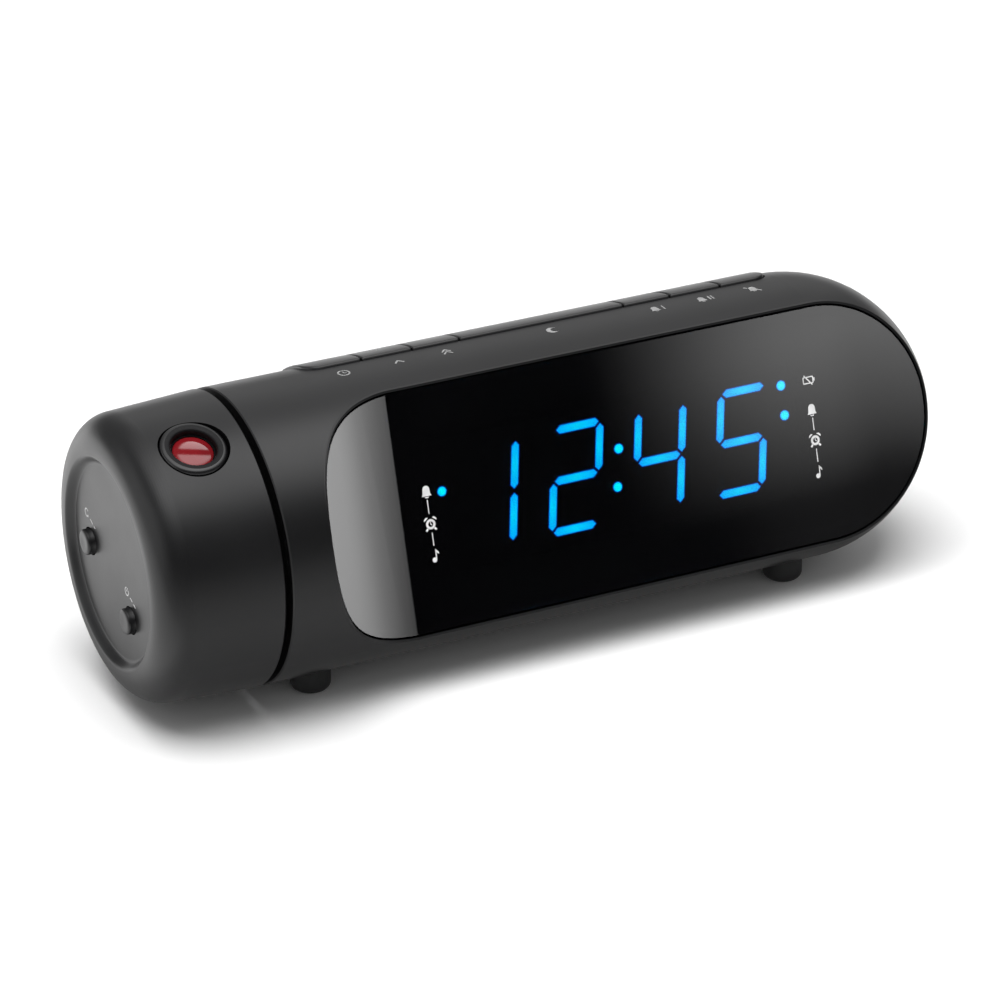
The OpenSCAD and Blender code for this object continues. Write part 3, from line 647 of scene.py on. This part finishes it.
def key_signs():
    """Generic pictograms in front of the keys: clock, one and two steps, crescent, bells and a stop sign."""
    y = 0.5
    groups = []

    def put_sign(cx, shapes, k=1.25):
        groups.extend([[(cx + (px - cx) * k, y + (py - y) * k) for px, py in sh] for sh in shapes])
    put_sign(-40.5, ring_shape(-40.5, y, 0.95, 0.28) + stroke([(-40.5, y + 0.55), (-40.5, y), (-40.1, y - 0.2)], 0.2))
    put_sign(-28.1, stroke([(-28.9, y - 0.45), (-28.1, y + 0.5), (-27.3, y - 0.45)], 0.3))
    put_sign(-17.2, stroke([(-18.0, y - 0.8), (-17.2, y + 0.1), (-16.4, y - 0.8)], 0.28) + stroke([(-18.0, y + 0.05), (-17.2, y + 0.95), (-16.4, y + 0.05)], 0.28))
    moon = [(7.2 + 1.05 * math.cos(math.radians(a)), y + 1.05 * math.sin(math.radians(a))) for a in range(40, 321, 20)]
    moon_in = [(7.75 + 0.82 * math.cos(math.radians(a)), y + 0.82 * math.sin(math.radians(a))) for a in range(305, 54, -20)]
    put_sign(7.2, [[a, b, d, c] for a, b, c, d in zip(moon, moon[1:], moon_in[::-1], moon_in[::-1][1:])])
    put_sign(31.9, bell(31.5, y, 0.75) + stroke([(33.1, y - 0.7), (33.1, y + 0.8)], 0.26))
    put_sign(43.3, bell(42.7, y, 0.75) + stroke([(44.2, y - 0.7), (44.2, y + 0.8)], 0.26) + stroke([(44.8, y - 0.7), (44.8, y + 0.8)], 0.26))
    put_sign(54.9, bell(54.9, y, 0.75) + stroke([(53.7, y + 1.15), (56.1, y - 1.15)], 0.26))
    return groups


def on_top(x, y, h):
    return on_body(x, y + 0.15, h)


printed("key_signs", key_signs(), GREYPRINT, on_top, 0.02, 0.05)

# ---------------------------------------------------------------- keys with rounded edges
KEY_W = [12.2, 11.5, 10.9, 38.4, 11.1, 12.1, 12.0]
KEY_X0, KEY_HW, GAP = -46.4, 8.5, 0.3


def key_piece(i, name):
    a = KEY_X0 + sum(KEY_W[:i]) + (0 if i == 0 else GAP / 2)
    b = KEY_X0 + sum(KEY_W[:i + 1]) - (0 if i == 6 else GAP / 2)
    ra, rb = (3.5 if i == 0 else 0.35), (3.5 if i == 6 else 0.35)
    ncorner, nmid, cols = 10, 14, 26

    def rows_for(r):
        top = [-1 + (1 - math.cos(math.pi / 2 * j / ncorner)) * r / KEY_HW for j in range(ncorner + 1)]
        mid = [top[-1] + (-2 * top[-1]) * j / nmid for j in range(1, nmid)]
        return top + mid + [-t for t in top[::-1]]

    rows = rows_for(3.5 if i in (0, 6) else 0.6)
    levels = [(0.0, 29.3), (0.0, 31.28), (0.05, 31.42), (0.14, 31.53), (0.28, 31.59), (0.45, 31.6)]

    def pt(e, r, t, q):
        h = KEY_HW - e
        w = t * h

        def dx(rad):
            rr = max(rad - e, 0.02)
            over = abs(w) - (h - rr)
            return rr - math.sqrt(max(0.0, rr * rr - over * over)) if over > 0 else 0.0
        xl, xr = a + e + dx(ra), b - e - dx(rb)
        return at(KEY_DIR, xl + (xr - xl) * q, w, math.sqrt(r * r - w * w))

    def ring(e, r):
        pts = [pt(e, r, rows[0], c / cols) for c in range(cols + 1)]
        pts += [pt(e, r, t, 1.0) for t in rows[1:]]
        pts += [pt(e, r, rows[-1], 1 - c / cols) for c in range(1, cols + 1)]
        pts += [pt(e, r, t, 0.0) for t in rows[-2:0:-1]]
        return pts
    v = []
    for e, r in levels:
        v += ring(e, r)
    cnt = len(v) // len(levels)
    f = rings_to_faces(cnt, len(levels))
    for e, r, flip in ((levels[-1][0], levels[-1][1], False), (levels[0][0], levels[0][1], True)):
        base = len(v)
        for t in rows:
            for c in range(cols + 1):
                v.append(pt(e, r, t, c / cols))
        for j in range(len(rows) - 1):
            for c in range(cols):
                k = base + j * (cols + 1) + c
                q = (k, k + 1, k + cols + 2, k + cols + 1)
                f.append(q[::-1] if flip else q)
    return make(name + "_cap", v, f, KEYS, name, [name], weld=2e-6)


for i, n in enumerate(("time_key", "hour_key", "minute_key", "sleep_key", "alarm_1_key", "alarm_2_key", "alarm_off_key")):
    key_piece(i, n)


# ---------------------------------------------------------------- projector details
def lens_place(x, y, z):
    return at(TURN, LENS_X + x, y, z)


prof = [(4.64, 22.9), (7.78, 22.9), (7.8, 23.0), (7.8, 23.7), (7.75, 23.8), (7.18, 23.85), (7.18, 27.6), (6.93, 27.8), (6.93, 29.5), (6.91, 29.68),
        (6.86, 29.84), (6.77, 30.0), (6.65, 30.14), (6.5, 30.26), (6.32, 30.35), (6.12, 30.41), (5.9, 30.44), (5.66, 30.45), (5.3, 30.42), (5.02, 30.35), (4.84, 30.27), (4.72, 30.12), (4.64, 29.9), (4.64, 26.0)]
v, f = lathe(prof, 120, lens_place)
ring_obj = make("focus_ring_round", v, f, RING, "focus", ["focus_ring"], weld=0)
ring_obj.data.materials.append(RINGEDGE)
for p in ring_obj.data.polygons:
    q = [(ring_obj.data.vertices[i].co - lens_place(0, 0, 0)) / MM for i in p.vertices]
    axis_dir = (lens_place(0, 0, 1) - lens_place(0, 0, 0)) / MM
    hs = [a.dot(axis_dir) for a in q]
    rs = [(a - axis_dir * h).length for a, h in zip(q, hs)]
    if min(rs) > 5.89 and min(hs) > 29.4:
        p.material_index = 1

lens_prof = [(0.0, 26.0), (4.16, 26.0), (4.2, 26.05), (4.2, 28.6), (4.15, 28.74)]
lens_prof += [(10.5 * math.sin(math.radians(t)), 19.15 + 10.5 * math.cos(math.radians(t))) for t in (22.6, 21, 18, 15, 12, 9, 6, 3)] + [(0.0, 29.65)]
v, f = lathe(lens_prof, 96, lens_place)
lens_obj = make("red_lens_dome", v, f, REDGLASS, "lens", ["projection_lens"], weld=1e-7)


def button_piece(s, body):
    def place(x, y, h):
        # h is measured along the body from the tip
        return at(TURN, -94.0 + h, s * 11.1 + x, -5.6 + y)
    p = [(0.0, 0.12), (0.9, 0.1), (1.7, 0.02), (2.15, 0.03), (2.45, 0.12), (2.63, 0.3), (2.7, 0.55), (2.7, 4.0), (3.65, 4.0), (3.7, 4.05), (3.7, 4.75), (3.65, 4.8), (0.0, 4.8)]
    v, f = lathe(p, 64, place)
    make(body + "_cap", v, f, ENDBTN, body, [body], weld=1e-7)


button_piece(1, "upper_button")
button_piece(-1, "lower_button")


def end_signs():
    """Generic marks beside the two end buttons: a turning arrow, and a ring with a line."""
    turn = ring_shape(-2.1, 4.5, 0.85, 0.24, 16, 60.0, 330.0) + [[(-1.0, 4.0), (-1.75, 3.95), (-1.25, 4.65)]]
    turn += stroke([(-0.2, 4.5), (1.3, 4.5)], 0.24) + stroke([(1.9, 4.5), (2.6, 4.5)], 0.24)
    power = ring_shape(-2.1, 4.5, 0.85, 0.24, 16, 125.0, 415.0) + stroke([(-2.1, 4.5), (-2.1, 5.45)], 0.24)
    power += stroke([(-0.2, 4.5), (0.9, 4.5)], 0.24) + stroke([(1.5, 4.5), (2.6, 4.5)], 0.24)
    for name, side, shapes in (("upper_button_sign", 1, turn), ("lower_button_sign", -1, power)):
        printed(name, shapes, PRINT, lambda x, y, h: at(TURN, -92.4 - h, side * 11.1 + 1.6 - x, -5.3 + y), 0.02, 0.04, "projector")


end_signs()


def feet_piece():
    v, f = [], []
    for fx, fy in ((-54, -9.9), (-54, 9.9), (58, -9.9), (58, 9.9)):
        p = [(0.0, 0.0), (2.55, 0.0)] + [(2.6 + 1.65 * math.sin(math.radians(a)), 1.65 - 1.65 * math.cos(math.radians(a))) for a in range(8, 91, 9)] + [(4.25, 5.65), (4.2, 5.7), (0.0, 5.7)]
        vv, ff = lathe(p, 56, lambda x, y, h: Vector(((fx + x) * MM, (fy + y) * MM, h * MM)))
        f += [tuple(len(v) + i for i in q) for q in ff]
        v += vv
    make("rubber_feet", v, f, RUBBER, "clock_body", ["feet"], weld=1e-7)


feet_piece()

for o in NODES.values():
    o.data.polygons.foreach_set("use_smooth", [True] * len(o.data.polygons))

# ---------------------------------------------------------------- stage
bpy.ops.mesh.primitive_plane_add(size=14, location=(0, 0, 0))
floor = bpy.context.object
floor.name = "floor"
floor.data.materials.append(floor_mat())

floor.visible_glossy = False
AZ, EL, D, FOC, TX, TY = 26.7255, 26.0658, 30.8873, 4583.01, -0.08935, 0.13173
az, el = math.radians(AZ), math.radians(EL)
VIEW_RIGHT = Vector((math.cos(az), -math.sin(az), 0))
VIEW = Vector((-math.sin(az) * math.cos(el), -math.cos(az) * math.cos(el), math.sin(el)))
VIEW_UP = VIEW.cross(VIEW_RIGHT)
world = bpy.data.worlds.new("studio")
bpy.context.scene.world = world
world.use_nodes = True
world.node_tree.nodes["Background"].inputs["Color"].default_value = (1, 1, 1, 1)
world.node_tree.nodes["Background"].inputs["Strength"].default_value = 0.37
world.cycles_visibility.glossy = False


def curve(x, pts):
    """Smooth-stepped table: pts is a list of (x, value) in rising x."""
    if x <= pts[0][0]:
        return pts[0][1]
    for (x0, y0), (x1, y1) in zip(pts, pts[1:]):
        if x <= x1:
            return y0 + (y1 - y0) * (x - x0) / (x1 - x0)
    return pts[-1][1]


def step(x, a, b):
    t = min(1.0, max(0.0, (x - a) / (b - a)))
    return t * t * (3 - 2 * t)


def glow_mat(name):
    """A see-through sheet that adds the light of its points."""
    m = bpy.data.materials.new(name)
    m.use_nodes = True
    nt = m.node_tree
    nt.nodes.clear()
    a = nt.nodes.new("ShaderNodeAttribute")
    a.attribute_name = "glow"
    e = nt.nodes.new("ShaderNodeEmission")
    t = nt.nodes.new("ShaderNodeBsdfTransparent")
    add = nt.nodes.new("ShaderNodeAddShader")
    out = nt.nodes.new("ShaderNodeOutputMaterial")
    nt.links.new(a.outputs["Fac"], e.inputs["Strength"])
    nt.links.new(e.outputs[0], add.inputs[0])
    nt.links.new(t.outputs[0], add.inputs[1])
    nt.links.new(add.outputs[0], out.inputs["Surface"])
    return m


def reflector(name, verts, faces, glow, only=None, but=None):
    """A stage sheet that is seen in glossy reflections alone, by the objects named or by all but them."""
    me = bpy.data.meshes.new(name)
    me.from_pydata([tuple(v) for v in verts], [], faces)
    a = me.attributes.new("glow", "FLOAT", "POINT")
    a.data.foreach_set("value", glow)
    me.materials.append(glow_mat(name))
    o = bpy.data.objects.new(name, me)
    bpy.context.scene.collection.objects.link(o)
    o.visible_camera = o.visible_diffuse = o.visible_shadow = o.visible_transmission = False
    coll = bpy.data.collections.new(name + "_for")
    for t in (only or but):
        coll.objects.link(t)
    for c in coll.collection_objects:
        c.light_linking.link_state = "INCLUDE" if only else "EXCLUDE"
    o.light_linking.receiver_collection = coll
    return o


def sky_sheet(name, radius, azs, els, fn, **kw):
    v, f, g = [], [], []
    for e in els:
        for a in azs:
            ca, sa, ce, se = math.cos(math.radians(a)), math.sin(math.radians(a)), math.cos(math.radians(e)), math.sin(math.radians(e))
            v.append((radius * sa * ce, -radius * ca * ce, radius * se + 0.045))
            g.append(fn(a, e))
    n = len(azs)
    for j in range(len(els) - 1):
        for i in range(n - 1):
            f.append((j * n + i, j * n + i + 1, j * n + n + i + 1, j * n + n + i))
    return reflector(name, v, f, g, **kw)


def ground_sheet(name, xs, ys, z, fn, **kw):
    v = [(x, y, z) for y in ys for x in xs]
    g = [fn(x, y) for y in ys for x in xs]
    n = len(xs)
    f = [(j * n + i, j * n + i + 1, j * n + n + i + 1, j * n + n + i) for j in range(len(ys) - 1) for i in range(n - 1)]
    return reflector(name, v, f, g, **kw)


def sky_body(a, e):
    """Soft overhead bank in front, darker towards the horizon; paler behind."""
    front = curve(e, [(-2, 0.14), (12, 0.1), (28, 0.12), (36, 0.3), (44, 0.8), (53, 2.0), (62, 3.0), (70, 3.4), (90, 2.4)])
    back = curve(e, [(-2, 0.3), (8, 0.4), (16, 0.6), (26, 0.85), (45, 0.85), (60, 0.9), (75, 1.8), (90, 2.4)])
    left = curve(e, [(-2, 0.6), (4, 1.2), (28, 1.3), (40, 0.4), (50, 0.3), (60, 1.6), (75, 2.4), (90, 2.4)])
    d = (a - 30 + 180) % 360 - 180
    wf = 1 - step(abs(d), 75, 115)
    dl = (a + 80 + 180) % 360 - 180
    wl = (1 - wf) * (1 - step(abs(dl), 35, 70))
    db = (a + 150 + 180) % 360 - 180
    back *= 1 - 0.55 * (1 - step(abs(db), 25, 50)) * (1 - step(e, 35, 60))
    return front * wf + left * wl + back * (1 - wf - wl)


def sky_window(a, e):
    """Soft box to the right of the window, with a soft lower edge that falls towards the right."""
    if a > 34:
        return 0.25 * (1 - step(a, 34, 40)) + 0.12
    e0 = curve(a, [(28.2, 3.82), (28.8, 4.0), (38, 1.3)])
    flat = step(a, 25.3, 28.5) * min(2.9, max(0.0, 1.5 * (e - e0))) + 0.15 * step(a, 26.3, 27.8)
    return flat * (1 - step(a, 32.5, 34.0)) + 0.37 * step(a, 32.5, 34.0)


def sky_curved(a, e):
    """The same soft box further round, as the curved end of the window sees it."""
    low = curve(a, [(33, 0.58), (36, 1.02), (39, 1.27), (43, 1.84), (47, 2.36), (51, 2.92), (55, 3.48), (60, 4.02), (64, 4.35), (75, 4.7), (140, 4.7)])
    side = low + 0.33 * min(max(e, 0.0), 5.0)
    return side * step(a, 30.0, 32.0)


def sky_lens(a, e):
    """Two pale banks with a dark gap between them, one above the other as the lens shows them."""
    ca, sa, ce, se = math.cos(math.radians(a)), math.sin(math.radians(a)), math.cos(math.radians(e)), math.sin(math.radians(e))
    h = (Vector((sa * ce, -ca * ce, se)) + VIEW).normalized()
    t, q = h.dot(VIEW_UP) - 0.625, h.dot(VIEW_RIGHT) - 0.165
    gap = step(abs(t - 0.005), 0.035, 0.075)
    edge = 1 - step(math.hypot(t / 0.27, q / 0.36), 0.82, 1.0)
    return 3.5 * gap * edge + 0.1


def ground_body(x, y):
    d = math.hypot(max(abs(x) - 0.07, 0.0), y)
    base = curve(d, [(0.0, 0.06), (0.016, 0.12), (0.026, 0.28), (0.036, 0.58), (0.055, 0.96), (0.1, 0.94), (0.2, 0.64), (0.7, 0.4), (3.0, 0.26)])
    back = curve(d, [(0.0, 0.04), (0.026, 0.06), (0.045, 0.4), (0.08, 0.9), (0.5, 1.1), (3.0, 0.5)])
    wb = step(y, -0.01, 0.05)
    side = step(-x, 0.095, 0.112) * step(y, -0.085, -0.03) * (1 - step(d, 0.5, 1.0))
    return base * (1 - wb) + back * wb + 0.85 * side


def ground_window(a, r):
    """Bright floor at the right of the window, a little darker near it; a is the direction and r the distance."""
    near = curve(a, [(30, 0.22), (36, 0.66), (40, 1.0), (45, 1.62), (50, 2.24), (55, 2.7), (60, 3.1), (64, 3.43), (70, 3.87), (76, 4.26), (82, 4.63), (90, 4.7), (130, 4.5)])
    return near * (1 + 0.11 * math.log(min(max(r, 0.03), 6.0) / 0.3))


grid_x = [-6, -3, -1.5, -0.8, -0.5, -0.35, -0.25, -0.2, -0.17, -0.15, -0.14, -0.13, -0.12, -0.11, -0.1, -0.09, -0.08, -0.06, -0.04, 0, 0.04, 0.06, 0.075, 0.09, 0.1, 0.11, 0.125, 0.14, 0.165, 0.2, 0.25, 0.35, 0.5, 0.8, 1.5, 3, 6]
grid_y = [-6, -3, -1.5, -0.8, -0.5, -0.35, -0.25, -0.2, -0.15, -0.12, -0.1, -0.08, -0.06, -0.05, -0.04, -0.03, -0.02, -0.01, 0, 0.01, 0.02, 0.03, 0.04, 0.05, 0.06, 0.08, 0.1, 0.12, 0.15, 0.2, 0.3, 0.5, 0.8, 1.5, 3, 6]
sky_sheet("sky_for_body", 90.0, [i * 5 for i in range(-36, 37)], [-2, 0, 4, 8, 12, 16, 20, 24, 28, 32, 36, 40, 44, 48, 52, 56, 60, 65, 70, 75, 80, 85, 89.9], sky_body, but=[flat_glass, curved_glass, lens_obj])
sky_sheet("banks_for_lens", 95.0, [i * 3 for i in range(-60, 61)], [3 * i for i in range(30)] + [89.9], sky_lens, only=[lens_obj])
sky_sheet("softbox_for_window", 60.0, [22 + 0.25 * i for i in range(45)] + [34 + 2 * i for i in range(54)], [-0.05, 0.1] + [0.35 + 0.25 * i for i in range(50)] + [14, 16, 18, 22], sky_window, only=[flat_glass])
sky_sheet("softbox_for_curved_end", 62.0, [28 + 0.5 * i for i in range(12)] + [34 + 2 * i for i in range(54)], [-0.05, 0.1] + [0.35 + 0.25 * i for i in range(50)] + [14, 16, 18, 22], sky_curved, only=[curved_glass])
ground_sheet("ground_for_body", grid_x, grid_y, 0.0004, ground_body, but=[flat_glass, curved_glass])
floor_a = [30 + 2.5 * i for i in range(41)]
floor_r = [0.03, 0.045, 0.06, 0.08, 0.1, 0.13, 0.17, 0.22, 0.3, 0.4, 0.55, 0.75, 1.0, 1.5, 2.2, 3.2, 4.5, 6.0, 10.0, 20.0, 62.0]
reflector("ground_for_window", [(-0.045 + r * math.sin(math.radians(a)), -0.025 - r * math.cos(math.radians(a)), 0.0006) for r in floor_r for a in floor_a],
          [(j * 41 + i, j * 41 + i + 1, j * 41 + 42 + i, j * 41 + 41 + i) for j in range(len(floor_r) - 1) for i in range(40)],
          [ground_window(a, r) for r in floor_r for a in floor_a], only=[curved_glass])


def light(name, loc, target, size, power):
    d = bpy.data.lights.new(name, "AREA")
    d.shape = "RECTANGLE"
    d.size, d.size_y = size
    d.energy = power
    o = bpy.data.objects.new(name, d)
    o.location = loc
    o.rotation_euler = (Vector(target) - Vector(loc)).to_track_quat("-Z", "Y").to_euler()
    o.visible_glossy = False
    bpy.context.scene.collection.objects.link(o)
    return o


light("overhead_bank", (-0.2, -0.2, 1.3), (0, 0, 0), (1.2, 1.0), 22.0)

# ---------------------------------------------------------------- camera
r_, v_, u_ = VIEW_RIGHT, VIEW, VIEW_UP
pos = -TX * r_ - TY * u_ + D * v_
cam_data = bpy.data.cameras.new("camera")
cam_data.sensor_width = 36.0
cam_data.sensor_fit = "HORIZONTAL"
cam_data.lens = FOC * 36.0 / 1000.0
cam_data.clip_start, cam_data.clip_end = 0.01, 50
cam = bpy.data.objects.new("camera", cam_data)
m = Matrix((r_, u_, v_)).transposed().to_4x4()
m.translation = Vector(((pos.x - 0.27) * R * MM, pos.y * R * MM, (pos.z * R + AXIS) * MM))
cam.matrix_world = m
bpy.context.scene.collection.objects.link(cam)
bpy.context.scene.camera = cam
bpy.context.scene.view_settings.view_transform = "Standard"
